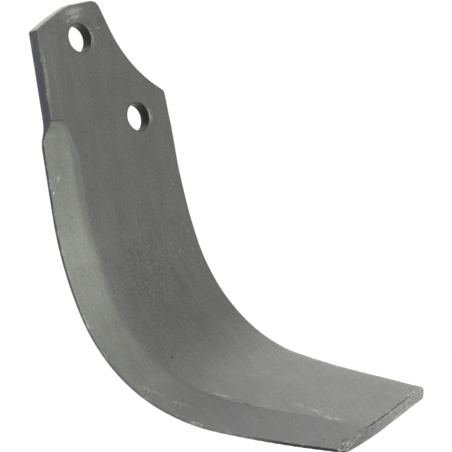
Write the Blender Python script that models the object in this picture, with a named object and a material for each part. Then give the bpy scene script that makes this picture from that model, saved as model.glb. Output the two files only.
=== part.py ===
"""Rotary tiller blade, forged in one piece from flat spring-steel bar.

The blade is drawn as its flat blank, bevelled along the leading edge, and then bent about one
inclined axis. Flat places are given as (across, down): across is +X, down is -Z, and the origin is
the middle of the two-hole bolt pattern on the mounting face. The mounting face lies at Y = 0 and
the metal stands out of it towards -Y, to which the foot also bends.
"""

from math import cos, pi, radians, sin

import bmesh
import bpy
import numpy as np

# Bar and bolt holes, in metres
thickness = 0.008
hole_diameter = 0.0165
hole_step_across = 0.0348
hole_step_down = 0.0479
hole_edge_margin = 0.031
hole_sides = 48
cutter_overrun = 0.002

# Head and neck, clockwise from the top of the straight leading edge
corner_rise = 0.0055
slope_length = 0.0295
slope_angle = radians(28.5)
crown_length = 0.0167
crown_angle = radians(8.2)
head_radius = 0.0067
head_side_length = 0.0136
head_side_angle = radians(21.8)
neck_radius = 0.0725
neck_turn = radians(36.3)
shoulder_run = 0.0056
shoulder_radius = 0.0025

# Trailing edge, from the shoulder to the corner of the foot
shoulder_flare = radians(4.3)
waist_radius = 0.467
waist_turn = radians(10.7)
trail_radius = 0.335
trail_turn = radians(27.7)
trail_end_length = 0.0371

# Leading edge, from the level of the shoulder to the tip of the foot
bevel_start_drop = 0.047
edge_bulge = 0.0035
bulge_length = 0.017
cutting_length = 0.0939
cutting_radius = 0.203
cutting_turn = radians(21.3)
sweep_radius = 0.492
sweep_turn = radians(11.5)
tip_length = 0.0116
tip_radius = 0.004
tip_turn = radians(40)

# Bevel, with its width measured across the blade from the cutting edge
edge_thickness = 0.002
bevel_width = 0.0197
bevel_start_width = 0.0093
bevel_tip_width = 0.0118
bevel_step_depth = 0.0006
bevel_step_length = 0.0005
depth_run_in = 0.010
width_run_in = 0.019
tip_narrowing = 0.040

# Bend, from the bolt pattern down; the radius is that of the hollow face
bend_start = 0.0564
bend_tilt = radians(21.3)
bend_radius = 0.1256
bend_angle = radians(70.9)

# Facets
slope_facets = 2
crown_facets = 2
round_facets = 2
head_side_facets = 2
neck_facets = 6
shoulder_facets = 3
run_in_facets = 8
blade_facets = 40
edge_facets = 60
tip_facets = 4

steel_colour = (0.145, 0.145, 0.140, 1.0)
steel_metallic = 0.75
steel_roughness = 0.5

sharp_edge_angle = radians(12)

right_angle = pi / 2
full_thickness_depth = thickness - edge_thickness
upper_hole = np.array([-hole_step_across, -hole_step_down]) / 2
lower_hole = -upper_hole


def clear_scene():
    """Remove every object that is already in the scene."""
    for item in list(bpy.data.objects):
        bpy.data.objects.remove(item, do_unlink=True)


def forged_steel():
    """Dark oil-hardened steel with a dull sheen."""
    material = bpy.data.materials.new("forged_steel")
    material.use_nodes = True
    shader = material.node_tree.nodes["Principled BSDF"]
    shader.inputs["Base Color"].default_value = steel_colour
    shader.inputs["Metallic"].default_value = steel_metallic
    shader.inputs["Roughness"].default_value = steel_roughness
    return material


def walk(start, heading, steps):
    """Points of a path in the flat blank, and the heading at its end.

    The heading turns from straight down towards across. Each step is (length, turn, facets): the
    path goes on for that length while its heading turns evenly, so it is a straight where the turn
    is zero and an arc elsewhere. A step of no length is a sharp corner.
    """
    points = [np.array(start)]
    for length, turn, facets in steps:
        for facet in range(facets):
            part_turn = turn / facets
            chord = length / facets * np.sinc(part_turn / (2 * pi))
            middle = heading + part_turn / 2
            points.append(points[-1] + chord * np.array([sin(middle), cos(middle)]))
            heading += part_turn
        if facets == 0:
            heading += turn
    return np.array(points), heading


def arc(radius, turn, facets):
    """A step of walk along an arc of this radius."""
    return radius * abs(turn), turn, facets


def lengths_along(path):
    """Distance of each point of a path from its start."""
    return np.concatenate([[0], np.cumsum(np.linalg.norm(np.diff(path, axis=0), axis=1))])


def resample(path, distances):
    """Points of a path at the given distances from its start."""
    own = lengths_along(path)
    return np.stack([np.interp(distances, own, path[:, axis]) for axis in range(2)], axis=1)


def straight(start, end, shares):
    """Points of the straight line from start to end, at shares of its length."""
    return start + np.outer(shares, end - start)


def patch(left, right, top, bottom):
    """Grid of points between four joined paths: left and right run down, top and bottom across."""
    down = (lengths_along(left) / lengths_along(left)[-1])[:, None, None]
    across = (lengths_along(bottom) / lengths_along(bottom)[-1])[None, :, None]
    sides = (1 - across) * left[:, None] + across * right[:, None]
    ends = (1 - down) * top[None] + down * bottom[None]
    corners = ((1 - down) * ((1 - across) * top[0] + across * top[-1])
               + down * ((1 - across) * bottom[0] + across * bottom[-1]))
    return sides + ends - corners


def head_paths():
    """Top edge from the leading corner, and the head's far side down to the shoulder."""
    corner = upper_hole - np.array([hole_edge_margin, corner_rise])
    half_round = (right_angle + crown_angle - head_side_angle) / 2
    first_length = bevel_start_width / cos(slope_angle)
    top, heading = walk(corner, right_angle + slope_angle, [
        (first_length, 0, 1),
        (slope_length - first_length, 0, slope_facets),
        (0, crown_angle - slope_angle, 0),
        (crown_length, 0, crown_facets),
        arc(head_radius, -half_round, round_facets),
    ])
    shoulder_turn = head_side_angle + neck_turn - shoulder_flare
    side, _ = walk(top[-1], heading, [
        arc(head_radius, -half_round, round_facets),
        (head_side_length, 0, head_side_facets),
        arc(neck_radius, neck_turn, neck_facets),
        (shoulder_run, 0, 1),
        arc(shoulder_radius, -shoulder_turn, shoulder_facets),
    ])
    return top, side


def trailing_path(shoulder):
    """Trailing edge from the shoulder to the corner of the foot."""
    path, _ = walk(shoulder, shoulder_flare, [
        arc(waist_radius, -waist_turn, edge_facets),
        arc(trail_radius, trail_turn, edge_facets),
        (trail_end_length, 0, 1),
    ])
    return path


def leading_path(start, run_to_bevel):
    """Leading edge from the shoulder's level to the tip, with the forged edge bulging outwards."""
    bulge_turn = 2 * edge_bulge / bulge_length
    path, _ = walk(start, 0, [
        (run_to_bevel, 0, 1),
        (bulge_length / 2, -bulge_turn, edge_facets),
        (bulge_length / 2, bulge_turn, edge_facets),
        (cutting_length, 0, 1),
        arc(cutting_radius, cutting_turn, edge_facets),
        arc(sweep_radius, sweep_turn, edge_facets),
        (tip_length, 0, 1),
        arc(tip_radius, tip_turn, tip_facets),
    ])
    return path


def row_distances(run_to_bevel, total):
    """Distances along the leading edge at which the blade has a row of points."""
    run_in_end = run_to_bevel + width_run_in
    near = run_to_bevel + np.linspace(bevel_step_length, width_run_in, run_in_facets)
    far = np.linspace(run_in_end, total, blade_facets)[1:]
    return np.concatenate([[0, run_to_bevel], near, far])


def bevel_depths(distances, run_to_bevel):
    """How far the leading edge is forged down at each row: a small step, then a smooth run-in."""
    share = np.clip((distances - run_to_bevel) / depth_run_in, 0, 1)
    ease = share * share * (3 - 2 * share)
    depth = bevel_step_depth + (full_thickness_depth - bevel_step_depth) * ease
    return np.where(distances > run_to_bevel, depth, 0)


def bevel_widths(distances, run_to_bevel, total):
    """Width of the bevel at each row: it widens from its start and narrows towards the tip."""
    widening = np.clip((distances - run_to_bevel) / width_run_in, 0, 1)
    narrowing = np.clip((distances - total + tip_narrowing) / tip_narrowing, 0, 1)
    return (bevel_start_width + (bevel_width - bevel_start_width) * widening
            - (bevel_width - bevel_tip_width) * narrowing ** 2)


def flat_grid():
    """Points of the flat blank in rows across the blade, and the bevel's depth at each row."""
    top, side = head_paths()
    shoulder = side[-1]
    corner = top[0]
    level_start = np.array([corner[0], shoulder[1]])
    run_to_bevel = upper_hole[1] + bevel_start_drop - shoulder[1]

    leading = leading_path(level_start, run_to_bevel)
    trailing = trailing_path(shoulder)
    total = lengths_along(leading)[-1]
    distances = row_distances(run_to_bevel, total)
    lead_rows = resample(leading, distances)
    trail_rows = resample(trailing, distances / total * lengths_along(trailing)[-1])

    row_directions = trail_rows - lead_rows
    row_directions /= np.linalg.norm(row_directions, axis=1)[:, None]
    widths = bevel_widths(distances, run_to_bevel, total)
    ridge_rows = lead_rows + row_directions * widths[:, None]

    column_shares = lengths_along(top[1:]) / lengths_along(top[1:])[-1]
    shoulder_row = straight(ridge_rows[0], shoulder, column_shares)
    end_row = straight(ridge_rows[-1], trail_rows[-1], column_shares)
    head_shares = lengths_along(side) / lengths_along(side)[-1]
    head_lead = straight(corner, level_start, head_shares)
    head_ridge = straight(top[1], ridge_rows[0], head_shares)

    head = patch(head_ridge, side, top[1:], shoulder_row)
    blade = patch(ridge_rows, trail_rows, shoulder_row, end_row)
    inner = np.concatenate([head[:-1], blade])
    lead = np.concatenate([head_lead[:-1], lead_rows])
    depths = np.concatenate([np.zeros(len(head) - 1), bevel_depths(distances, run_to_bevel)])
    return np.concatenate([lead[:, None], inner], axis=1), depths


def bend(across, down, height):
    """Place of a blank point after bending; height is its distance from the mounting face.

    Below bend_start the blank wraps round a cylinder whose axis lies across the blade, tilted up
    by bend_tilt. Past bend_angle it goes on straight.
    """
    along_axis = across * cos(bend_tilt) - down * sin(bend_tilt)
    run = across * sin(bend_tilt) + down * cos(bend_tilt)
    past = max(run - bend_start, 0)
    angle = min(past / bend_radius, bend_angle)
    radius = bend_radius + thickness - height
    beyond = past - angle * bend_radius
    reach = min(run, bend_start) + radius * sin(angle) + beyond * cos(angle)
    lift = bend_radius + thickness - radius * cos(angle) + beyond * sin(angle)
    return (
        along_axis * cos(bend_tilt) + reach * sin(bend_tilt),
        -lift,
        along_axis * sin(bend_tilt) - reach * cos(bend_tilt),
    )


def blade_mesh():
    """The bevelled and bent plate, before its holes."""
    grid, depths = flat_grid()
    rows, columns = grid.shape[:2]
    form = bmesh.new()
    edge_drop = form.verts.layers.float.new("edge_drop")
    back = [[form.verts.new((*place, 0)) for place in row] for row in grid]
    for row in range(rows):
        back[row][0][edge_drop] = depths[row]
    for row in range(rows - 1):
        for column in range(columns - 1):
            form.faces.new((back[row][column], back[row][column + 1],
                            back[row + 1][column + 1], back[row + 1][column]))

    # Extruding copies each point with its edge drop, so the front is raised and bevelled at once.
    raised = bmesh.ops.extrude_face_region(form, geom=form.faces[:])["geom"]
    for point in raised:
        if isinstance(point, bmesh.types.BMVert):
            point.co.z = thickness - point[edge_drop]

    for point in form.verts:
        point.co = bend(*point.co)
    bmesh.ops.recalc_face_normals(form, faces=form.faces[:])
    mesh = bpy.data.meshes.new("tiller_blade")
    form.to_mesh(mesh)
    form.free()
    return mesh


def hole_cutter(name, place):
    """Cylinder through the shank at one bolt hole."""
    form = bmesh.new()
    radius = hole_diameter / 2
    bmesh.ops.create_cone(form, cap_ends=True, segments=hole_sides, radius1=radius,
                          radius2=radius, depth=thickness + 2 * cutter_overrun)
    mesh = bpy.data.meshes.new(name)
    form.to_mesh(mesh)
    form.free()
    cutter = bpy.data.objects.new(name, mesh)
    cutter.location = (place[0], -thickness / 2, -place[1])
    cutter.rotation_euler = (right_angle, 0, 0)
    cutter.hide_render = True
    cutter.display_type = "WIRE"
    bpy.context.collection.objects.link(cutter)
    return cutter


def tiller_blade():
    """The finished blade: bent plate with its two bolt holes."""
    mesh = blade_mesh()
    mesh.materials.append(forged_steel())
    blade = bpy.data.objects.new("tiller_blade", mesh)
    bpy.context.collection.objects.link(blade)
    for name, place in (("upper_hole", upper_hole), ("lower_hole", lower_hole)):
        cut = blade.modifiers.new(name, "BOOLEAN")
        cut.operation = "DIFFERENCE"
        cut.solver = "EXACT"
        cut.object = hole_cutter(name + "_cutter", place)
    mesh.shade_smooth()
    mesh.set_sharp_from_angle(angle=sharp_edge_angle)
    return blade


clear_scene()
tiller_blade()
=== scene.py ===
from math import cos, pi, radians, sin

import bpy
import numpy as np
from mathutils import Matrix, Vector


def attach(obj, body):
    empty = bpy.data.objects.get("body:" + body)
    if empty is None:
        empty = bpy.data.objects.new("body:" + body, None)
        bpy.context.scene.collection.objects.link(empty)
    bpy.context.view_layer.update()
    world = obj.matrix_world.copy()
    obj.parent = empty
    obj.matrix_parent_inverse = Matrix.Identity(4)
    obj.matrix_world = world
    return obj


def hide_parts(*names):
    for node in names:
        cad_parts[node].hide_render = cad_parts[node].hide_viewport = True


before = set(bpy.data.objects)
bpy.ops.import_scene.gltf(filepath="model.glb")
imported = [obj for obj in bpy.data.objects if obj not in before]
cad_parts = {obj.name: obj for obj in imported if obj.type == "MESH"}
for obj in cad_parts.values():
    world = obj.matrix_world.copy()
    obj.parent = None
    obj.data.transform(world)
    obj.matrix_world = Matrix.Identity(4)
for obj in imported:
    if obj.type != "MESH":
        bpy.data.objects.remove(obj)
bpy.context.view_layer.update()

# The blade
# One piece of flat spring-steel bar, trimmed to its outline. The leading edge is drawn down hot to
# a long bevel, then the lower half is bent round into the foot, and the whole is hardened in oil.

# It is worked out as a flat blank first, whose places are (across, down) from the middle of the
# bolt pattern: across from the leading to the trailing edge, and down from the head to the foot.
bar_thickness = 0.008
hole_step_across = 0.0348
hole_step_down = 0.0479
upper_hole = np.array([-hole_step_across, -hole_step_down]) / 2
lower_hole = -upper_hole
line_spacing = 0.0001
right_angle = pi / 2


def edge_line(start, heading, steps):
    """A line of the flat outline, as its running lengths and its (across, down) points.

    The heading turns evenly over the length of each step, from straight down towards across, and
    the points are the running sum of (sin heading, cos heading) times the spacing.
    """
    lengths, turns = np.array(steps).T
    knots = np.concatenate([[0], np.cumsum(lengths)])
    headings = heading + np.concatenate([[0], np.cumsum(turns)])
    run = np.linspace(0, knots[-1], round(knots[-1] / line_spacing))
    direction = np.interp((run[1:] + run[:-1]) / 2, knots, headings)
    moves = np.stack([np.sin(direction), np.cos(direction)], axis=1) * run[1]
    return run, start + np.concatenate([[[0, 0]], np.cumsum(moves, axis=0)])


def along(line, share):
    """Points of a line at shares of its length, by linear interpolation between its own points."""
    run, points = line
    return np.stack([np.interp(share * run[-1], run, points[:, axis]) for axis in (0, 1)], axis=-1)


# Head, from the corner of the straight leading edge over the top and down its far side. The sloped
# part of the top is sheared a little bowed.
hole_edge_margin = 0.031
corner_rise = 0.0055
corner_softness = 0.0008
slope_length = 0.0295
slope_angle = radians(28.5)
slope_bow = radians(4)
crown_length = 0.0167
crown_angle = radians(8.2)
head_radius = 0.0067
head_side_length = 0.0136
head_side_angle = radians(21.8)
neck_radius = 0.0725
neck_turn = radians(36.3)
shoulder_run = 0.0056
shoulder_radius = 0.0025
shoulder_flare = radians(4.3)

head_corner = upper_hole - np.array([hole_edge_margin, corner_rise])
half_round = (right_angle + crown_angle - head_side_angle) / 2
top_line = edge_line(head_corner, right_angle + slope_angle + slope_bow, [
    (slope_length - corner_softness / 2, -2 * slope_bow),
    (corner_softness, crown_angle - slope_angle + slope_bow),
    (crown_length - corner_softness / 2, 0),
    (head_radius * half_round, -half_round),
])
shoulder_turn = head_side_angle + neck_turn - shoulder_flare
side_line = edge_line(top_line[1][-1], right_angle + crown_angle - half_round, [
    (head_radius * half_round, -half_round),
    (head_side_length, 0),
    (neck_radius * neck_turn, neck_turn),
    (shoulder_run, 0),
    (shoulder_radius * shoulder_turn, -shoulder_turn),
])
shoulder = side_line[1][-1]
level = np.array([head_corner[0], shoulder[1]])

# Trailing edge, from the shoulder to the corner of the foot
waist_radius = 0.467
waist_turn = radians(10.7)
trail_radius = 0.335
trail_turn = radians(27.7)
trail_end_length = 0.0367

trailing_line = edge_line(shoulder, shoulder_flare, [
    (waist_radius * waist_turn, -waist_turn),
    (trail_radius * trail_turn, trail_turn),
    (trail_end_length, 0),
])

# Leading edge, from the level of the shoulder to the tip of the foot
bevel_start_drop = 0.047
edge_bulge = 0.0035
bulge_length = 0.017
cutting_length = 0.0939
cutting_radius = 0.203
cutting_turn = radians(21.3)
sweep_radius = 0.492
sweep_turn = radians(11.5)
tip_length = 0.0109
tip_radius = 0.004
tip_turn = radians(40)

run_to_bevel = upper_hole[1] + bevel_start_drop - shoulder[1]
bulge_turn = 2 * edge_bulge / bulge_length
leading_line = edge_line(level, 0, [
    (run_to_bevel, 0),
    (bulge_length / 2, -bulge_turn),
    (bulge_length / 2, bulge_turn),
    (cutting_length, 0),
    (cutting_radius * cutting_turn, cutting_turn),
    (sweep_radius * sweep_turn, sweep_turn),
    (tip_length, 0),
    (tip_radius * tip_turn, tip_turn),
])

# Rows run down the blade and columns across it, about a millimetre apart, and closer together
# over the rounded rims, the step that starts the bevel, its two ridges and the tip
rim_radius = 0.0009
cutting_rim_radius = 0.0004
rim_steps = 6
step_zone = (-0.0004, 0.0008)
tip_rows_length = 0.010
head_rows, neck_rows, step_rows, blade_rows, tip_rows = 46, 20, 5, 270, 30
edge_strip_share = 0.3
second_ridge_share = 0.78
edge_columns, bevel_columns, ridge_columns, main_columns = 10, 8, 7, 46
beside_ridge_share = 0.006
main_start_share = 0.024

rim_turns = np.linspace(0, right_angle, rim_steps)
rim_shares = 1 - np.cos(rim_turns)
head_length = level[1] - head_corner[1]
blade_length = leading_line[0][-1]
whole_length = head_length + blade_length
step_down = head_length + run_to_bevel
tip_rows_start = whole_length - tip_rows_length
row_places = np.concatenate([
    rim_radius * rim_shares[:-1],
    np.linspace(rim_radius, head_length, head_rows)[:-1],
    np.linspace(head_length, step_down + step_zone[0], neck_rows)[:-1],
    step_down + np.linspace(*step_zone, step_rows)[:-1],
    np.linspace(step_down + step_zone[1], tip_rows_start, blade_rows)[:-1],
    np.linspace(tip_rows_start, whole_length - rim_radius, tip_rows)[:-1],
    whole_length - rim_radius * rim_shares[::-1],
])
row_turns = np.concatenate([
    rim_turns, np.full(len(row_places) - 2 * len(rim_turns), right_angle), rim_turns[::-1],
])
bevel_shares = np.concatenate([
    np.linspace(0, edge_strip_share, edge_columns)[1:],
    np.linspace(edge_strip_share, second_ridge_share, bevel_columns)[1:],
    np.linspace(second_ridge_share, 1, ridge_columns)[1:],
])
main_shares = np.concatenate([
    [beside_ridge_share], np.linspace(main_start_share, 1, main_columns)])


def columns(own, before, after):
    """A column array that is 0 before its own zone, 1 after it, and own inside it."""
    return np.concatenate([np.zeros(before), own, np.ones(after)])[None, :]


rim_count, bevel_count, main_count = len(rim_shares), len(bevel_shares), len(main_shares)
past_rim = bevel_count + main_count + rim_count - 1
before_rim = rim_count + bevel_count + main_count
cutting_rim = columns(rim_shares, 0, past_rim)
bevel_part = columns(bevel_shares, rim_count, main_count + rim_count - 1)
main_part = columns(main_shares, rim_count + bevel_count, rim_count - 1)
trailing_rim = columns(1 - rim_shares[::-1][1:], before_rim, 0)
lead_turns = columns(rim_turns / right_angle, 0, past_rim) * right_angle
trail_turns = right_angle - right_angle * columns(
    1 - rim_turns[::-1][1:] / right_angle, before_rim, 0)

# Bevel: a small step, a scooped run-in, then a long flat taper with a lesser facet by the face. Its
# width grows as (5 w - w to the fifth) / 4 of the share w of its run-in, and narrows at the tip.
edge_thickness = 0.002
bevel_width = 0.0197
bevel_start_width = 0.0093
bevel_tip_width = 0.0130
bevel_step_depth = 0.0006
bevel_step_length = 0.0004
depth_run_in = 0.010
width_run_in = 0.022
tip_narrowing = 0.038
ridge_wander = 0.00012
wander_lengths = (0.031, 0.0123)
second_facet_depth = 0.135
second_facet_end = 0.060
second_facet_fade = 0.040
full_depth = bar_thickness - edge_thickness


def ease(share):
    """Smooth 0 to 1: three times the square of the share less twice its cube."""
    share = np.clip(share, 0, 1)
    return share * share * (3 - 2 * share)


def blend(first, second, share):
    """From the first value to the second by a share: first + (second - first) times share."""
    return first + (second - first) * share


past_step = row_places - step_down
before_tip = whole_length - row_places
step_depths = bevel_step_depth * ease(past_step / bevel_step_length)
run_in_depths = (full_depth - bevel_step_depth) * ease(past_step / depth_run_in)
bevel_depths = (step_depths + run_in_depths)[:, None]
width_share = np.clip(past_step / width_run_in, 0, 1)
bevel_widths = (
    blend(bevel_start_width, bevel_width, width_share * (5 - width_share ** 4) / 4)
    - (bevel_width - bevel_tip_width) * np.clip(1 - before_tip / tip_narrowing, 0, 1) ** 2
    + ridge_wander * sum(np.sin(2 * pi * row_places / length) for length in wander_lengths)
)[:, None]
facet_depths = blend(second_facet_depth, 1 - second_ridge_share,
                     ease((past_step - second_facet_end) / second_facet_fade))[:, None]

# Place of each row's ends, and of every point between them in the flat blank. The trailing edge is
# a little full where the foot was hammered.
edge_fullness = 0.0005
fullness_down = 0.243
fullness_length = 0.032


def bell(distance, width):
    """A soft hump or line: exp(-(distance / width) squared), 1 on its middle."""
    return np.exp(-(distance / width) ** 2)


in_head = np.clip(row_places / head_length, 0, 1)[:, None, None]
in_blade = np.clip((row_places - head_length) / blade_length, 0, 1)
lead_ends = along(leading_line, in_blade)[:, None]
trail_ends = along(trailing_line, in_blade)[:, None]
trail_ends[:, :, 0] += edge_fullness * bell(trail_ends[:, :, 1] - fullness_down, fullness_length)
blade_widths = np.linalg.norm(trail_ends - lead_ends, axis=2)
top_width = top_line[0][-1]
row_widths = blend(blade_widths, top_width, 1 - in_head[:, :, 0])
rim_radii = blend(rim_radius, cutting_rim_radius, bevel_depths / full_depth)
reaches = (
    rim_radii * cutting_rim + (bevel_widths - rim_radii) * bevel_part
    + (row_widths - bevel_widths - rim_radius) * main_part + rim_radius * trailing_rim
)
shares = (reaches / row_widths)[:, :, None]


def head_points():
    """The head: sides blended across, plus top and shoulder row blended down, less the corners."""
    top, side = along(top_line, shares[:, :, 0]), along(side_line, in_head[:, :, 0])
    straight_top = blend(head_corner, top_line[1][-1], shares)
    shoulder_row = blend(level, shoulder, shares)
    sides = blend(blend(head_corner, level, in_head), side, shares)
    ends = blend(top, shoulder_row, in_head)
    return sides + ends - blend(straight_top, shoulder_row, in_head)


blade_points = blend(lead_ends, trail_ends, shares)
blank = np.where(in_head < 1, head_points(), blade_points)

# The foot's end is cropped a little bowed, as share (1 - share) squared, scaled to peak at 1. The
# cutting edge is left with small nicks under the foot and with a burr that hangs from its tip.
end_bow = 0.0018
bow_scale = 6.75
bow_length = 0.02
burr_place = 0.0032
burr_length = 0.0012
burr_height = 0.0024
nick_depth = 0.0002
nick_start = 0.13
nick_lengths = (0.0037, 0.0101)
edge_zone = 0.003

way_across = (trail_ends - lead_ends) / row_widths[:, :, None]
end_out = np.array([-way_across[-1, 0, 1], way_across[-1, 0, 0]])
bow = end_bow * bow_scale * shares * (1 - shares) ** 2
blank += bow * ease(1 - before_tip / bow_length)[:, None, None] * end_out
burr = burr_height * bell(before_tip - burr_place, burr_length)
nicks = nick_depth * ease((past_step - nick_start) / nick_start) * np.prod(
    [np.sin(2 * pi * row_places / length) for length in nick_lengths], axis=0)
at_edge = np.clip(1 - reaches / edge_zone, 0, 1)
blank -= ((burr + nicks)[:, None] * at_edge)[:, :, None] * way_across

# Heights above the mounting face: rounded rims, the bevel with its ridge worn soft round the bend,
# a slightly wavy rolled and hammered skin, a torn spot at the tip, and the bevel's end rounded over
ridge_softness = 0.0005
worn_ridge_softness = 0.0028
worn_downs = [0.055, 0.110, 0.185, 0.225]
worn_shares = [0, 1, 1, 0]
skin_wave = 0.00004
skin_across = (0.037 / (2 * pi), 3, 0.023)
skin_down = (0.029 / (2 * pi), 2, 0.011)
torn_depth = 0.0009
torn_length = 0.0054
torn_reach = 0.0046
torn_inset = 0.0034
torn_spread = 1.3
crumple_across = (0.00036, 1.5, 0.0006)
crumple_down = (0.00040, 1.5, 0.0005)
droop = 0.0008
droop_length = 0.0035
droop_width = 0.003


def swaying(place, beside, wave):
    """A sine wave along place that sways with the place beside it.

    It is sin(place / length + sway times sin(beside / sway length)), from -1 to 1.
    """
    length, sway, sway_length = wave
    return np.sin(place / length + sway * np.sin(beside / sway_length))


over_rims = 1 - np.cos(row_turns[:, None]) ** 2
front_rim = over_rims - np.cos(lead_turns) ** 2 - np.cos(trail_turns) ** 2
round_over = 1 - np.sqrt(np.clip(front_rim, 0, 1))
across, down = blank[:, :, 0], blank[:, :, 1]
softness = blend(ridge_softness, worn_ridge_softness, np.interp(down, worn_downs, worn_shares))
inside_ridge = bevel_widths - reaches
near_ridge = np.clip(inside_ridge + softness, 0, 2 * softness)
rounded = np.where(inside_ridge > softness, inside_ridge, near_ridge ** 2 / softness / 4)
past_second_ridge = np.clip(1 - reaches / bevel_widths / second_ridge_share, 0, 1)
taper = blend(facet_depths, 1, past_second_ridge)
taper *= np.clip(rounded / bevel_widths / (1 - second_ridge_share), 0, 1)
waves = swaying(across, down, skin_across) + swaying(down, across, skin_down) - 2
from_torn = np.hypot(reaches - torn_reach, before_tip[:, None] - torn_inset)
torn = ease(torn_spread - torn_spread * from_torn / torn_length)
crumpled = (1 + swaying(across, down, crumple_across) * swaying(down, across, crumple_down)) / 2
drooping = np.clip(1 - before_tip / droop_length, 0, 1)[:, None] ** 2
front_heights = (
    bar_thickness - bevel_depths * taper - rim_radii * round_over + skin_wave * waves
    - torn_depth * torn * crumpled - droop * drooping * ease(inside_ridge / droop_width)
)
back_heights = rim_radii * round_over

# Rims and the sheared sides between them: rings round the outline from the front rim to the back.
# Cropping the foot's end has drawn out a lip near its front, with a fine crack above it.
side_bulge = 0.00012
crack_depth = 0.0004
crack_place = 0.0002
crack_width = 0.00014
crack_corner_gap = 0.016
lip_out = 0.0016
lip_place = 0.14
lip_fade = 0.003
lip_start = 0.008
close_rings_share = 0.14
ring_steps = 9

ring_shares = np.concatenate([
    np.linspace(0, close_rings_share, ring_steps)[1:-1],
    np.linspace(close_rings_share, 1, ring_steps)[:-1],
])[:, None]
rows, cols = front_heights.shape
numbers = np.arange(rows * cols).reshape(rows, cols)
loop = np.concatenate([
    numbers[0, :-1], numbers[:-1, -1], numbers[-1, :0:-1], numbers[:0:-1, 0]])
loop_points = blank.reshape(-1, 2)[loop]
loop_ways = np.roll(loop_points, -1, axis=0) - np.roll(loop_points, 1, axis=0)
loop_ways /= np.linalg.norm(loop_ways, axis=1)[:, None]
outwards = np.stack([loop_ways[:, 1], -loop_ways[:, 0]], axis=1)
loop_front, loop_back = front_heights.reshape(-1)[loop], back_heights.reshape(-1)[loop]
ring_depths = (loop_front - loop_back) * ring_shares
from_ridge = (reaches - bevel_widths).reshape(-1)[loop]
from_corner = (row_widths - reaches).reshape(-1)[loop]
on_end = (loop // cols == rows - 1) * ease(from_ridge / rim_radius)
crack = on_end * ease(from_corner / crack_corner_gap) * bell(ring_depths - crack_place, crack_width)
ring_outs = side_bulge * 4 * ring_shares * (1 - ring_shares) - crack_depth * crack
near_end = ease(1 - np.repeat(before_tip, cols)[loop] / lip_fade)
lip = (lip_out * near_end * ease(from_ridge / lip_start)
       * ease(ring_shares / lip_place) * (1 - ring_shares))
ring_points = loop_points + ring_outs[:, :, None] * outwards + lip[:, :, None] * end_out
ring_heights = loop_front - ring_depths

# Bend, from the bolt pattern down, about an axis that lies tilted across the blade
bend_start = 0.0564
bend_tilt = radians(21.3)
bend_radius = 0.1256
bend_angle = radians(70.9)


def bend(place, height):
    """Points after bending, wrapped round a tilted cylinder below bend_start.

    Past it the run down the blade turns into an angle, run / bend_radius, and each point takes the
    radius of its own height. Past bend_angle it goes on straight.
    """
    across, down = place[..., 0], place[..., 1]
    beside = across * cos(bend_tilt) - down * sin(bend_tilt)
    run = across * sin(bend_tilt) + down * cos(bend_tilt)
    past = np.maximum(run - bend_start, 0)
    angle = np.minimum(past / bend_radius, bend_angle)
    radius = bend_radius + bar_thickness - height
    beyond = past - angle * bend_radius
    reach = np.minimum(run, bend_start) + radius * np.sin(angle) + beyond * np.cos(angle)
    lift = bend_radius + bar_thickness - radius * np.cos(angle) + beyond * np.sin(angle)
    return np.stack([beside * cos(bend_tilt) + reach * sin(bend_tilt), -lift,
                     beside * sin(bend_tilt) - reach * cos(bend_tilt)], axis=-1)


# Points of the front face, the back face and the rings, with walls from each ring to the next
quads = np.stack([
    numbers[:-1, :-1], numbers[1:, :-1], numbers[1:, 1:], numbers[:-1, 1:]], axis=-1)
quads = quads.reshape(-1, 4)
rings = np.concatenate([
    loop[None], 2 * rows * cols + np.arange(ring_heights.size).reshape(ring_heights.shape),
    rows * cols + loop[None],
])
next_rings = np.roll(rings, -1, axis=1)
walls = np.stack([rings[:-1], next_rings[:-1], next_rings[1:], rings[1:]], axis=-1)
points = np.concatenate([
    bend(blank, front_heights).reshape(-1, 3),
    bend(blank, back_heights).reshape(-1, 3),
    bend(ring_points, ring_heights).reshape(-1, 3),
])
faces = np.concatenate([quads, quads[:, ::-1] + rows * cols, walls.reshape(-1, 4)])

# Tone of the faces and sides: scaled black steel, with painted highlights down the bevel and in its
# scooped run-in and a painted shadow at its step, painted shade and light on the blue-tinted
# leading side, painted light on the cropped head and foot ends, and painted shade in the crack
skin_tone = np.array([0.143, 0.143, 0.139])
bevel_top_tone = np.array([0.150, 0.152, 0.141])
bevel_foot_tone = np.array([0.144, 0.144, 0.144])
bevel_turn_down = 0.15
bevel_turn_length = 0.08
# Painted highlights and shade down the bevel: its shade at each of these places down the blade
bevel_downs = [0.035, 0.070, 0.104, 0.150, 0.188, 0.215, 0.300]
bevel_painted_light_shades = [0.92, 0.93, 1.27, 1.11, 1.31, 1.08, 1.20]
bevel_from_depth = 0.02
# A painted shadow line where the bevel steps in
step_shadow = 0.40
step_line = 0.0004
# The leading side's tone down the blade: painted shade, tinted blue, down to the bend, the skin's
# tone round it, a painted highlight under the foot and painted shade at the tip
leading_downs = [-0.025, 0.0, 0.080, 0.150, 0.218, 0.230, 0.255, 0.275]
leading_painted_tones = np.array([
    [0.098, 0.098, 0.110], [0.080, 0.080, 0.093], [0.080, 0.080, 0.093], [0.140, 0.141, 0.137],
    [0.145, 0.146, 0.141], [0.200, 0.199, 0.194], [0.185, 0.184, 0.179], [0.045, 0.045, 0.043]])
# Painted light on the cropped head and foot ends; across the foot's end, painted shade by the tip
# turning to painted light at the far corner
end_painted_light_head_tone = np.array([0.30, 0.296, 0.29])
end_painted_light_foot_tone = np.array([0.27, 0.266, 0.262])
end_painted_light_shares = [0, 0.25, 0.5, 1]
end_painted_light_shades = [0.70, 0.84, 1.10, 1.25]
# Painted shade in the fine crack on the foot's end
crack_painted_shade_tone = np.array([0.025, 0.025, 0.025])

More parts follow.
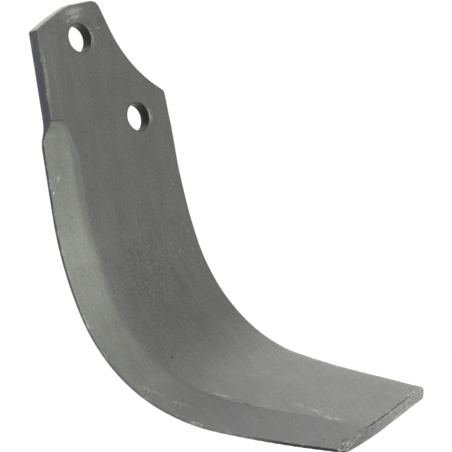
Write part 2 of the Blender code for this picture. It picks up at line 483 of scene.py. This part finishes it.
# Shades of the front face: how much paler or darker, then the middle and halves of each oval patch
shade_patches = (
    (-0.10, (0.002, 0.145), 0.024, 0.045),
    (0.26, (-0.020, -0.039), 0.012, 0.006),
    (0.10, (-0.042, -0.014), 0.006, 0.022),
    (-0.16, (-0.009, -0.0335), 0.003, 0.003),
    (-0.12, (0.0002, -0.0334), 0.002, 0.003),
    (0.07, (-0.040, 0.085), 0.0025, 0.050),
)
# A painted highlight on the face beside the bevel's ridge round the start of the bend, and above
# crisp_down a painted highlight line on the ridge and a painted shade line on the second ridge
ridge_painted_highlight = 0.20
ridge_painted_highlight_width = 0.010
ridge_painted_highlight_down = 0.115
ridge_painted_highlight_length = 0.045
ridge_line = 0.10
ridge_line_width = 0.0006
second_ridge_line = -0.08
second_ridge_line_share = 0.03
crisp_down = 0.075
crisp_fade = 0.02
# A paler strip beside the trailing edge on the foot, and painted shade on the trailing rim there
trail_strip = 0.14
trail_strip_width = 0.004
trail_rim_shade = -0.25
foot_down = 0.17
trail_fade = 0.04
torn_contrast = 2.4
torn_middle = 0.40


def patch(middle, half_across, half_down):
    """An oval patch of the face: one bell across it times another down it."""
    return bell(across - middle[0], half_across) * bell(down - middle[1], half_down)


on_bevel = (bevel_depths / full_depth > bevel_from_depth) * ease(near_ridge / softness / 2)
run_in_share = np.clip(past_step / depth_run_in, 0, 1)[:, None]
bevel_tone = blend(bevel_top_tone, bevel_foot_tone,
                   ease((down - bevel_turn_down) / bevel_turn_length)[:, :, None])
# Painted highlights down the bevel, a painted highlight over the middle of the scooped run-in, and
# a painted shadow line at the step
bevel_tone *= (np.interp(down, bevel_downs, bevel_painted_light_shades)
               * (1 + 4 * run_in_share * (1 - run_in_share) * taper)
               * (1 - step_shadow * bell(past_step[:, None] - step_line, step_line)))[:, :, None]
# Painted highlight beside the ridge, and painted highlight and shade lines along the ridges
ridge_shade = (ridge_painted_highlight * (1 - on_bevel)
               * np.exp(np.minimum(inside_ridge, 0) / ridge_painted_highlight_width)
               * bell(down - ridge_painted_highlight_down, ridge_painted_highlight_length))
ridge_lines = ease((crisp_down - down) / crisp_fade) * (
    ridge_line * bell(inside_ridge - ridge_line_width, ridge_line_width)
    + second_ridge_line * bell(reaches / bevel_widths - second_ridge_share,
                               second_ridge_line_share))
# A paler strip beside the trailing edge on the foot, and painted shade on its rim
trail_shade = ease((down - foot_down) / trail_fade) * (
    trail_strip * bell(row_widths - reaches, trail_strip_width) + trail_rim_shade * trailing_rim)
torn_shade = torn_contrast * torn * (crumpled - torn_middle)
patch_shade = sum(strength * patch(*place) for strength, *place in shade_patches)
front_shade = 1 + patch_shade + ridge_shade + ridge_lines + trail_shade + torn_shade
front_tone = blend(skin_tone, bevel_tone, on_bevel[:, :, None]) * front_shade[:, :, None]
end_rims = np.maximum(1 - row_places / rim_radius, 1 - before_tip / rim_radius)
row_rims = np.clip(end_rims, 0, 1)[:, None, None]
lead_rims = np.clip(1 - cutting_rim, 0, 1)[:, :, None]


def rims_toned(tone):
    """A face's tone, turning over the rims to the painted shade and light of the leading side and
    to the painted light of the cropped ends.
    """
    leading_painted_tone = np.stack(
        [np.interp(down, leading_downs, part) for part in leading_painted_tones.T], axis=-1)
    end_painted_light_tone = np.where(
        down[:, :, None] > 0,
        end_painted_light_foot_tone * np.interp(shares, end_painted_light_shares, end_painted_light_shades), end_painted_light_head_tone)
    return blend(blend(tone, leading_painted_tone, lead_rims), end_painted_light_tone, row_rims)


front_tone, back_tone = rims_toned(front_tone), rims_toned(skin_tone)

# Coarseness of the skin: coarse where cropped, stippled in the bend and by the holes, and smooth
# on the bevel under the foot. Patches as above.
stipple_patches = (
    (0.75, (0.001, 0.118), 0.026, 0.028),
    (0.35, (-0.026, -0.030), 0.026, 0.018),
)
plain_coarseness = 0.2
foot_coarseness = 0.1
foot_fade = 0.06
bevel_smoothness = 0.9
smooth_down = 0.15
smooth_fade = 0.05

stipple = sum(strength * patch(*place) for strength, *place in stipple_patches)
foot_part = foot_coarseness * ease((down - foot_down) / foot_fade)
coarse = np.maximum(row_rims[:, :, 0], plain_coarseness + stipple + foot_part)
coarse *= 1 - bevel_smoothness * on_bevel * ease((down - smooth_down) / smooth_fade)

# What the skin's material reads at each point: its place in the flat bar, its tone, how far it is
# from a rim, and how coarse it is
end_gaps = np.minimum(row_places, before_tip)[:, None]
rim_gaps = np.minimum(np.minimum(reaches, row_widths - reaches), end_gaps)
ring_gaps = np.minimum(ring_depths, ring_depths[-1] - ring_depths)
ring_zeros = np.zeros(ring_heights.shape + (1,))
face_zeros = np.zeros(across.shape + (1,))


def in_order(front, back, side):
    """Values for all points in their order, one row a point: front face, back face, then sides."""
    return np.concatenate([
        part.reshape(part.shape[0] * part.shape[1], -1) for part in (front, back, side)])


blade_skin = {
    "bar_place": in_order(
        np.concatenate([blank, face_zeros], axis=2),
        np.concatenate([blank, face_zeros + bar_thickness], axis=2),
        np.concatenate([ring_points, ring_depths[:, :, None]], axis=2)),
    # Sides take the face's tone at their ring, with painted shade in the crack
    "tone": in_order(front_tone, back_tone, blend(
        front_tone.reshape(-1, 3)[loop] + ring_zeros, crack_painted_shade_tone, crack[:, :, None])),
    "rim_gap": in_order(rim_gaps, rim_gaps, ring_gaps),
    "coarse": in_order(coarse, coarse, coarse.reshape(-1)[loop][:, None] + ring_zeros),
}


def put_skin(mesh, name, values):
    """Store one row of values a point on the mesh, as numbers or as vectors of three."""
    kind, field = ("FLOAT", "value") if values.shape[1] == 1 else ("FLOAT_VECTOR", "vector")
    layer = mesh.attributes.get(name) or mesh.attributes.new(name, kind, "POINT")
    layer.data.foreach_set(field, values.astype(np.float32).ravel())


blade_mesh = bpy.data.meshes.new("tiller_blade_forging")
blade_mesh.from_pydata(points, [], faces.tolist())
for name, values in blade_skin.items():
    put_skin(blade_mesh, name, values)
blade = bpy.data.objects.new("tiller_blade_forging", blade_mesh)
bpy.context.collection.objects.link(blade)

# Bolt holes: bored through the shank for the two bolts that clamp it to the rotor's flange, with
# the rims of each hole rounded over
hole_radius = 0.00825
hole_rim = 0.0006
hole_sides = 72
drill_overrun = 0.001


def hole_drill(place):
    """Spool-shaped cutter: a circle carried along Y, its radius wider by a quarter round at the
    two faces, c - sqrt(c squared - (c - depth) squared), and on out at 45 degrees beyond them."""
    rim_depths = hole_rim * (1 - np.cos(rim_turns))
    flares = hole_rim * (1 - np.sin(rim_turns))
    depths = np.concatenate([[-drill_overrun], rim_depths])
    widths = np.concatenate([[hole_rim + drill_overrun], flares])
    heights = np.concatenate([bar_thickness - depths, depths[::-1]])[:, None]
    radii = hole_radius + np.concatenate([widths, widths[::-1]])[:, None]
    turns = np.linspace(0, 2 * pi, hole_sides, endpoint=False)[None, :]
    ring = np.stack([place[0] + radii * np.cos(turns), -heights + 0 * turns,
                     -place[1] + radii * np.sin(turns)], axis=-1).reshape(-1, 3)
    count = np.arange(len(heights) * hole_sides).reshape(len(heights), hole_sides)
    onward = np.roll(count, -1, axis=1)
    sides = np.stack([count[:-1], count[1:], onward[1:], onward[:-1]], axis=-1).reshape(-1, 4)
    mesh = bpy.data.meshes.new("hole_drill")
    mesh.from_pydata(ring, [], sides.tolist() + [count[0].tolist(), count[-1, ::-1].tolist()])
    return mesh


for place in (upper_hole, lower_hole):
    drill = bpy.data.objects.new("hole_drill", hole_drill(place))
    bpy.context.collection.objects.link(drill)
    cut = blade.modifiers.new("bolt_hole", "BOOLEAN")
    cut.operation = "DIFFERENCE"
    cut.solver = "EXACT"
    cut.object = drill
    graph = bpy.context.evaluated_depsgraph_get()
    bored = bpy.data.meshes.new_from_object(blade.evaluated_get(graph))
    blade.modifiers.clear()
    blade.data = bored
    bpy.data.objects.remove(drill)
blade.data.name = "tiller_blade_forging"

# The bored walls and their rims get a skin of their own: nearly black painted shade on the walls,
# painted lighter in the upper hole, and a painted highlight on the rim towards the trailing side,
# by the cube of how far across from the middle it lies
bore_painted_shade_tone = np.array([0.012, 0.0115, 0.011])
upper_bore_painted_light = 1.6
hole_rim_highlight_shade = 0.9
bore_reach = 1.1 * hole_rim
sharp_angle = radians(40)

bored_points = np.empty(len(blade.data.vertices) * 3, np.float32)
blade.data.vertices.foreach_get("co", bored_points)
bored_points = bored_points.reshape(-1, 3)
bored_places = np.stack([
    bored_points[:, 0], -bored_points[:, 2], bar_thickness + bored_points[:, 1]], axis=1)
hole_gaps = [np.linalg.norm(bored_places[:, :2] - place, axis=1)
             for place in (upper_hole, lower_hole)]
from_hole = np.minimum(*hole_gaps)[:, None] - hole_radius
by_lower_hole = bored_places[:, :1] > 0
past_middle = bored_places[:, :1] - np.where(by_lower_hole, lower_hole[0], upper_hole[0])
hole_rim_highlight = hole_rim_highlight_shade * np.clip(past_middle / hole_radius, 0, 1) ** 3
# Painted shade on the bored walls, painted lighter in the upper hole, and a painted highlight on
# the trailing side of each rim
bored_skin = {
    "bar_place": bored_places,
    "tone": blend(bore_painted_shade_tone * np.where(by_lower_hole, 1, upper_bore_painted_light),
                  skin_tone * (1 + hole_rim_highlight), np.clip(from_hole / hole_rim, 0, 1)),
    "rim_gap": hole_radius + 0 * from_hole,
    "coarse": 1 + 0 * from_hole,
}
for name, values in bored_skin.items():
    before = np.empty(values.shape, np.float32)
    field = "value" if values.shape[1] == 1 else "vector"
    blade.data.attributes[name].data.foreach_get(field, before.ravel())
    put_skin(blade.data, name, np.where(from_hole < bore_reach, values, before))
blade.data.shade_smooth()
blade.data.set_sharp_from_angle(angle=sharp_angle)

# Forging skin: dull oil-hardened scale with a fine pebbled surface and lengthwise grain, rubbed
# bright in spots along the rims, by the holes, across the bevel and along its ridge
steel = bpy.data.materials.new("forged_steel")
steel.use_nodes = True
shader = steel.node_tree.nodes["Principled BSDF"]


def add(tree, kind, settings, inputs, output=0):
    """Add a node with its options, a value or a link for each input given, and return an output."""
    made = tree.nodes.new(kind)
    for name, value in settings.items():
        setattr(made, name, value)
    for name, value in inputs.items():
        if isinstance(value, bpy.types.NodeSocket):
            tree.links.new(value, made.inputs[name])
        else:
            made.inputs[name].default_value = value
    return made.outputs[output] if made.outputs else made


def skin_value(name, output):
    """The value that put_skin stored on the blade under this name."""
    return add(steel.node_tree, "ShaderNodeAttribute", {"attribute_name": name}, {}, output)


def reckon(operation, *values):
    """One sum on single numbers: ADD, MULTIPLY, MULTIPLY_ADD or MAXIMUM."""
    return add(steel.node_tree, "ShaderNodeMath", {"operation": operation},
               dict(enumerate(values)))


def ramp(value, start, end, low, high):
    """From low at start evenly to high at end, and level outside them."""
    return add(steel.node_tree, "ShaderNodeMapRange", {}, {
        "Value": value, "From Min": start, "From Max": end, "To Min": low, "To Max": high})


# Noise in the flat bar, turned off its axes so that a face doesn't lie on one layer of it
noise_turn = (0.5, 0.4, 0.6)
noise_distortion = 0.4
noise_range = (0.3, 0.7)
noise_core = (0.35, 0.65)


def lumps(across, down, detail):
    """Cloudy noise from 0 to 1 in the flat bar, its lumps about so long across and down it."""
    place = add(steel.node_tree, "ShaderNodeMapping", {}, {
        "Vector": bar_place, "Scale": (1 / across, 1 / down, 1 / across), "Rotation": noise_turn})
    return add(steel.node_tree, "ShaderNodeTexNoise", {}, {
        "Vector": place, "Scale": 1.0, "Detail": detail, "Distortion": noise_distortion})


def mark(start, end, half_width, strength):
    """A thin oval mark on the front face: its strength on the middle, falling evenly to 0."""
    (left, top), (right, low) = start, end
    half_length = np.hypot(right - left, low - top) / 2 + half_width
    place = add(steel.node_tree, "ShaderNodeMapping", {"vector_type": "TEXTURE"}, {
        "Vector": bar_place, "Location": ((left + right) / 2, (top + low) / 2, 0),
        "Rotation": (0, 0, np.arctan2(left - right, low - top)),
        "Scale": (half_width, half_length, bar_thickness / 2)})
    length = add(steel.node_tree, "ShaderNodeVectorMath", {"operation": "LENGTH"}, {
        0: place}, "Value")
    return ramp(length, 0, 1, strength, 0)


def any_mark(marks):
    """The strongest of several marks."""
    strongest = mark(*marks[0])
    for each in marks[1:]:
        strongest = reckon("MAXIMUM", strongest, mark(*each))
    return strongest


bar_place = skin_value("bar_place", "Vector")
rim_gap = skin_value("rim_gap", "Fac")
coarse_share = skin_value("coarse", "Fac")

# Every noise, by the size of its lumps across and down the bar, and its detail
pebbles = lumps(0.0012, 0.0014, 4.0)
grain = lumps(0.0015, 0.022, 4.0)
clouds = lumps(0.012, 0.018, 5.0)
bands = lumps(0.009, 0.09, 3.0)
rub_clouds = lumps(0.004, 0.008, 4.0)
crumbs = lumps(0.0009, 0.0012, 3.0)
dark_dots = lumps(0.0022, 0.0022, 2.0)
pale_dots = lumps(0.0017, 0.0024, 2.0)
tint_clouds = lumps(0.007, 0.012, 5.0)

# Scuffs and pits, each from its start to its end, with its half width and its strength
scuffs = any_mark([
    # round the upper hole
    ((-0.0265, -0.0385), (-0.0125, -0.0409), 0.0028, 1.1),
    ((-0.0230, -0.0355), (-0.0145, -0.0372), 0.0018, 1.2),
    ((-0.0150, -0.0305), (-0.0085, -0.0290), 0.0010, 1.0),
    ((-0.0262, -0.0328), (-0.0232, -0.0350), 0.0009, 1.0),
    ((-0.0200, -0.0322), (-0.0188, -0.0350), 0.0010, 1.1),
    ((-0.0082, -0.0285), (-0.0082, -0.0185), 0.0026, 0.7),
    ((-0.0046, -0.0293), (-0.0005, -0.0300), 0.0010, 0.8),
    ((-0.0290, -0.0227), (-0.0280, -0.0186), 0.0008, 0.8),
    # by the lower hole
    ((0.0266, 0.0190), (0.0266, 0.0285), 0.0026, 0.75),
    # along the leading edge
    ((-0.0465, -0.0250), (-0.0464, 0.0225), 0.0012, 1.0),
    ((-0.0424, -0.0200), (-0.0423, -0.0130), 0.0010, 0.6),
    ((-0.0475, 0.0592), (-0.0451, 0.0533), 0.0006, 0.8),
    ((-0.0522, 0.0667), (-0.0486, 0.0620), 0.0008, 0.8),
    # across the bevel under the foot
    ((-0.0445, 0.1810), (-0.0325, 0.2010), 0.0020, 0.5),
    ((-0.0345, 0.1985), (-0.0240, 0.2190), 0.0018, 0.5),
    # along the bevel's ridge, out to the end of the foot
    ((-0.0125, 0.2120), (-0.0056, 0.2250), 0.0010, 0.8),
    ((0.0140, 0.2530), (0.0192, 0.2665), 0.0024, 0.45),
    ((0.0180, 0.2640), (0.0216, 0.2755), 0.0026, 0.45),
    ((0.0200, 0.2780), (0.0212, 0.2835), 0.0014, 0.8),
    ((0.0227, 0.2838), (0.0242, 0.2877), 0.0013, 0.8),
    # flecks by the trailing edge, and two longer ones on its rim at the foot
    ((0.0346, 0.0644), (0.0351, 0.0660), 0.0011, 0.9),
    ((0.0342, 0.0888), (0.0338, 0.0922), 0.0010, 0.9),
    ((0.0341, 0.0944), (0.0343, 0.0962), 0.0010, 0.9),
    ((0.0331, 0.1064), (0.0331, 0.1082), 0.0009, 0.8),
    ((0.0226, 0.1076), (0.0252, 0.1067), 0.0009, 0.7),
    ((0.0336, 0.1172), (0.0342, 0.1202), 0.0009, 0.7),
    ((0.0470, 0.2150), (0.0500, 0.2270), 0.0024, 0.55),
    ((0.0525, 0.2345), (0.0552, 0.2430), 0.0022, 0.6),
])
pits = any_mark([
    ((-0.0176, 0.1762), (-0.0168, 0.1768), 0.0007, 1.0),
    ((-0.0041, 0.2334), (-0.0026, 0.2406), 0.0005, 1.0),
    ((0.0229, 0.0762), (0.0232, 0.0772), 0.0006, 0.7),
    ((-0.0012, 0.0948), (-0.0006, 0.0956), 0.0006, 0.6),
])

# Rims are rubbed bright in a band of uneven width. Noise breaks up both them and the scuffs, and
# leaves the pits ragged.
rub_wander = 0.003
rub_near, rub_far = 0.0009, 0.0019
rub_strength = 0.5
break_low, break_high = -0.5, 0.3
bright_from, bright_full = 0.1, 0.7
pit_raggedness = 0.2
pit_from, pit_full = 0.2, 0.5

rub_gap = reckon("ADD", rim_gap, ramp(rub_clouds, *noise_core, 0, rub_wander))
rubbed_rims = ramp(rub_gap, rub_near, rub_far, rub_strength, 0)
break_up = ramp(crumbs, *noise_range, break_low, break_high)
bright = ramp(reckon("ADD", reckon("MAXIMUM", scuffs, rubbed_rims), break_up),
              bright_from, bright_full, 0, 1)
ragged = ramp(pebbles, *noise_range, -pit_raggedness, pit_raggedness)
pitted = ramp(reckon("ADD", pits, ragged), pit_from, pit_full, 0, 1)

# Specks are the outer ends of a noise, dark ones anywhere and pale ones more by the rims
dark_range = (0.26, 0.32)
dark_speck_shade = 0.75
pale_range = (0.71, 0.79)
pale_speck_shade = 1.35
rim_boost = 0.05
rim_boost_reach = 0.016

dark_specks = ramp(dark_dots, *dark_range, dark_speck_shade, 1)
more_by_rims = ramp(rim_gap, 0, rim_boost_reach, rim_boost, 0)
pale_specks = ramp(reckon("ADD", pale_dots, more_by_rims), *pale_range, 1, pale_speck_shade)

# Shade of the skin, multiplied into its tone with a slight green and blue tint in clouds
pebble_shade = 0.085
grain_shade = 0.050
cloud_shade = 0.045
band_shade = 0.045
rough_shades = (0.6, 2.6)
bright_shade = 1.8
pit_shade = 0.25
green_tint = (1.003, 1.010, 0.970)
blue_tint = (0.983, 1.003, 0.995)

rough_skin = ramp(coarse_share, 0, 1, *rough_shades)
shade = reckon("ADD", ramp(pebbles, *noise_range, -pebble_shade, pebble_shade),
               ramp(grain, *noise_range, -grain_shade, grain_shade))
shade = reckon("MULTIPLY_ADD", shade, rough_skin, 1.0)
for texture, strength in ((clouds, cloud_shade), (bands, band_shade)):
    shade = reckon("ADD", shade, ramp(texture, *noise_range, -strength, strength))
for factor in (dark_specks, pale_specks, ramp(bright, 0, 1, 1, bright_shade),
               ramp(pitted, 0, 1, 1, pit_shade)):
    shade = reckon("MULTIPLY", shade, factor)
tint = add(steel.node_tree, "ShaderNodeMix", {"data_type": "VECTOR"}, {
    0: ramp(tint_clouds, *noise_core, 0, 1), 4: green_tint, 5: blue_tint}, 1)
tinted = add(steel.node_tree, "ShaderNodeVectorMath", {"operation": "MULTIPLY"}, {
    0: skin_value("tone", "Vector"), 1: tint})
toned = add(steel.node_tree, "ShaderNodeVectorMath", {"operation": "SCALE"}, {
    0: tinted, "Scale": shade})
steel.node_tree.links.new(toned, shader.inputs["Base Color"])

# How metallic and how rough the skin is, smoother where it is rubbed, and its fine relief
metal_share = 0.8
cloud_roughness = (0.36, 0.44)
bright_roughness = -0.10
pebble_height = 0.000010
grain_height = 0.000006
cloud_height = 0.00004
pit_depth = 0.0002

shader.inputs["Metallic"].default_value = metal_share
dullness = reckon("ADD", ramp(clouds, *noise_range, *cloud_roughness),
                  ramp(bright, 0, 1, 0, bright_roughness))
steel.node_tree.links.new(dullness, shader.inputs["Roughness"])
relief = reckon("MULTIPLY", reckon("MULTIPLY", pebbles, rough_skin), pebble_height)
for texture, height in ((grain, grain_height), (clouds, cloud_height),
                        (pitted, -pit_depth), (bright, pebble_height)):
    relief = reckon("MULTIPLY_ADD", texture, height, relief)
steel.node_tree.links.new(
    add(steel.node_tree, "ShaderNodeBump", {}, {"Height": relief, "Distance": 1.0}, "Normal"),
    shader.inputs["Normal"])
blade.data.materials.clear()
blade.data.materials.append(steel)
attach(blade, "root")
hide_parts("tiller_blade")

# Camera
# A long lens from the front left and a little below the middle of the blade, tipped to one side,
# fitted to the outline and the hole rims in the photo.
camera_place = (-0.789, -0.923, -0.163)
camera_turns = (radians(93.196), radians(9.176), radians(-42.784))
lens_millimetres = 165.77

camera_data = bpy.data.cameras.new("camera")
camera_data.lens = lens_millimetres
camera = bpy.data.objects.new("camera", camera_data)
camera.location = camera_place
camera.rotation_euler = camera_turns
bpy.context.collection.objects.link(camera)
bpy.context.scene.camera = camera

# Studio
# Pale floor under the held blade, a white surround that the steel mirrors, and soft round lamps.
# The floor glows up to white for the camera, and less under the blade, where its shadow falls.
floor_drop = 0.36
floor_reach = 6.0
floor_colour = (0.8, 0.8, 0.8, 1)
near_glow = 0.52
near_reach = 0.45
far_glow = 0.80
far_reach = 1.6
white = (1, 1, 1, 1)
ambient = 0.3


def seen_or_mirrored(tree):
    """1 for rays from the camera and for those mirrored or let through by the part, else 0."""
    rays = tree.nodes.new("ShaderNodeLightPath").outputs
    through = add(tree, "ShaderNodeMath", {"operation": "MAXIMUM"}, {
        0: rays["Is Glossy Ray"], 1: rays["Is Transmission Ray"]})
    return add(tree, "ShaderNodeMath", {"operation": "MAXIMUM"}, {
        0: rays["Is Camera Ray"], 1: through})


world = bpy.data.worlds.new("studio")
world.use_nodes = True
bpy.context.scene.world = world
bpy.context.scene.view_settings.view_transform = "Standard"
surround = world.node_tree.nodes["Background"]
surround.inputs["Color"].default_value = white
world.node_tree.links.new(add(world.node_tree, "ShaderNodeMapRange", {}, {
    "Value": seen_or_mirrored(world.node_tree), "To Min": ambient}), surround.inputs["Strength"])

# Each lamp's azimuth and elevation in degrees, and its power in watts
lamp_distance = 1.6
lamp_size = 0.8
lamp_aim = Vector((0, -0.05, -0.09))
lamps = {
    "lamp_front_low": (0, 5, 3.4),
    "lamp_front_left": (-25, 32, 3.0),
    "lamp_left_top": (-110, 60, 1.8),
    "lamp_back_right": (120, 30, 3.0),
    "lamp_back_right_top": (120, 62, 2.3),
    "lamp_back_top": (180, 60, 3.0),
}

for name, (azimuth, elevation, power) in lamps.items():
    light = bpy.data.lights.new(name, "AREA")
    light.shape = "DISK"
    light.size = lamp_size
    light.energy = power
    lamp = bpy.data.objects.new(name, light)
    round_blade, upwards = radians(azimuth), radians(elevation)
    way = Vector((sin(round_blade) * cos(upwards), -cos(round_blade) * cos(upwards), sin(upwards)))
    lamp.location = lamp_aim + way * lamp_distance
    lamp.rotation_euler = way.to_track_quat("Z", "Y").to_euler()
    bpy.context.collection.objects.link(lamp)

floor_mesh = bpy.data.meshes.new("floor")
floor_mesh.from_pydata([(x, y, -floor_drop) for x, y in (
    (-floor_reach, -floor_reach), (floor_reach, -floor_reach),
    (floor_reach, floor_reach), (-floor_reach, floor_reach))], [], [(0, 1, 2, 3)])
floor = bpy.data.objects.new("floor", floor_mesh)
bpy.context.collection.objects.link(floor)
floor_paint = bpy.data.materials.new("floor_paint")
floor_paint.use_nodes = True
tree = floor_paint.node_tree
tree.nodes.clear()
matt = add(tree, "ShaderNodeBsdfDiffuse", {}, {"Color": floor_colour})
from_blade = add(tree, "ShaderNodeVectorMath", {"operation": "LENGTH"}, {
    0: add(tree, "ShaderNodeTexCoord", {}, {}, "Object")}, "Value")
rise = add(tree, "ShaderNodeMapRange", {}, {
    "Value": from_blade, "From Min": near_reach, "From Max": far_reach,
    "To Min": near_glow, "To Max": far_glow})
glow = add(tree, "ShaderNodeEmission", {}, {
    "Strength": add(tree, "ShaderNodeMath", {"operation": "MULTIPLY"}, {
        0: rise, 1: seen_or_mirrored(tree)})})
add(tree, "ShaderNodeOutputMaterial", {}, {
    "Surface": add(tree, "ShaderNodeAddShader", {}, {0: matt, 1: glow})})
floor.data.materials.append(floor_paint)
